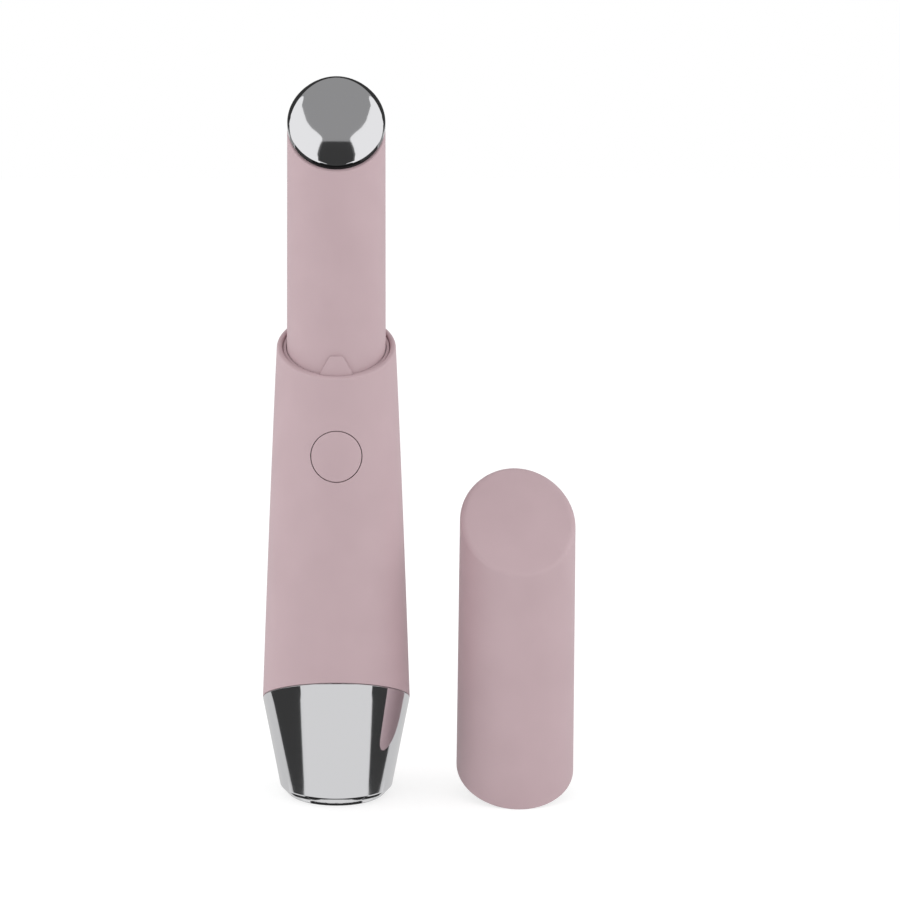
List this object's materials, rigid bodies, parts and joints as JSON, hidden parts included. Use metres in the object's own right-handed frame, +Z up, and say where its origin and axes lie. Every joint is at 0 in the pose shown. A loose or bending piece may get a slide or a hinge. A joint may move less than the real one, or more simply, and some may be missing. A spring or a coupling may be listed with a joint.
{
  "type": "heated eye massager wand",
  "caption": "Tapered wand with a heated metal tip plate on a slim head, a flush power button and a chrome base, and its pull-off cap standing beside it.",
  "frame": {"origin": "centre of the wand's flat foot", "axes": "+Z up along the wand's axis, -Y towards the side with the button, +X towards the cap"},
  "size_m": [0.0579, 0.0273, 0.1323],
  "materials": {
    "soft_touch_pink": "matte soft-touch moulded plastic",
    "chrome_base": "bright chrome plate",
    "polished_steel": "polished metal",
    "black_silicone": "matte black silicone",
    "white_abs": "moulded plastic",
    "polyimide_film": "amber film",
    "epoxy_bead": "epoxy",
    "steel": "plated steel",
    "board_green": "solder mask on glass fibre",
    "black_plastic": "moulded plastic",
    "cell_wrap": "metal can in shrink wrap",
    "gold_pins": "gold plated pins",
    "lead_red": "insulated lead",
    "lead_white": "insulated lead"
  },
  "bodies": {
    "wand": {"body_shell": "soft_touch_pink", "base_shell": "chrome_base", "collar_sleeve": "soft_touch_pink", "head_tube": "soft_touch_pink", "tip_seal": "black_silicone", "tip_plate": "polished_steel", "heater_film": "polyimide_film", "thermistor": "epoxy_bead", "plate_carrier": "white_abs", "motor_holder": "white_abs", "motor_boot": "black_silicone", "motor_can": "steel", "chassis": "white_abs", "circuit_board": "board_green", "board_parts": "black_plastic", "board_screws": "steel", "switch_body": "steel", "battery": "cell_wrap", "battery_tabs": "steel", "battery_lead": "lead_red", "port_board": "board_green", "usb_shell": "steel", "usb_tongue": "black_plastic", "port_pins": "gold_pins", "motor_leads": "lead_red", "heater_leads": "lead_white", "thermistor_leads": "lead_white"},
    "button": {"power_button": "soft_touch_pink", "switch_plunger": "black_plastic"},
    "rotor": {"motor_shaft": "steel", "eccentric_weight": "steel"},
    "cap": {"cap_shell": "soft_touch_pink", "cap_liner": "white_abs"}
  },
  "joints": [
    {"name": "button_press", "type": "slide", "parent": "wand", "child": "button", "axis": [0, 1, 0], "range_m": [0, 0.0003], "stiffness_N_per_m": 800, "springref_m": -0.0005},
    {"name": "motor_spin", "type": "hinge", "parent": "wand", "child": "rotor", "pos_m": [0, 0, 0.1], "axis": [0, 0, 1], "continuous": true},
    {"name": "cap_lift", "type": "slide", "parent": "wand", "child": "cap", "axis": [0, 0, 1], "range_m": [0, 0.049]}
  ]
}
